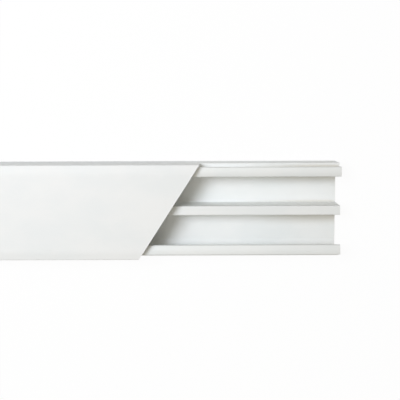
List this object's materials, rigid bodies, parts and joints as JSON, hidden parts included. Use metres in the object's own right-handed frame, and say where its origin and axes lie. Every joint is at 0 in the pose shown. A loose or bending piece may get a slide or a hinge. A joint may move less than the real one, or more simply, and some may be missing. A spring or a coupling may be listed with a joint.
{
  "type": "cord cover raceway",
  "caption": "White plastic cable trunking: a shallow channel base with retaining lips and a centre divider, and a clip-on flat cover cut back at a slant at one end.",
  "frame": {"origin": "middle of the back face, which lies on the floor or wall", "axes": "+X along the length towards the end where the cover is cut back, +Y across the width towards the cover's long side point, +Z out of the back face towards the cover"},
  "size_m": [0.4, 0.04, 0.016],
  "materials": {
    "base_pvc": "satin white rigid PVC, extruded, with faint lengthwise die lines",
    "cover_pvc": "satin white rigid PVC, extruded, smooth face, sawn end"
  },
  "bodies": {
    "root": {"base_channel": "base_pvc", "cover": "cover_pvc"}
  },
  "joints": []
}
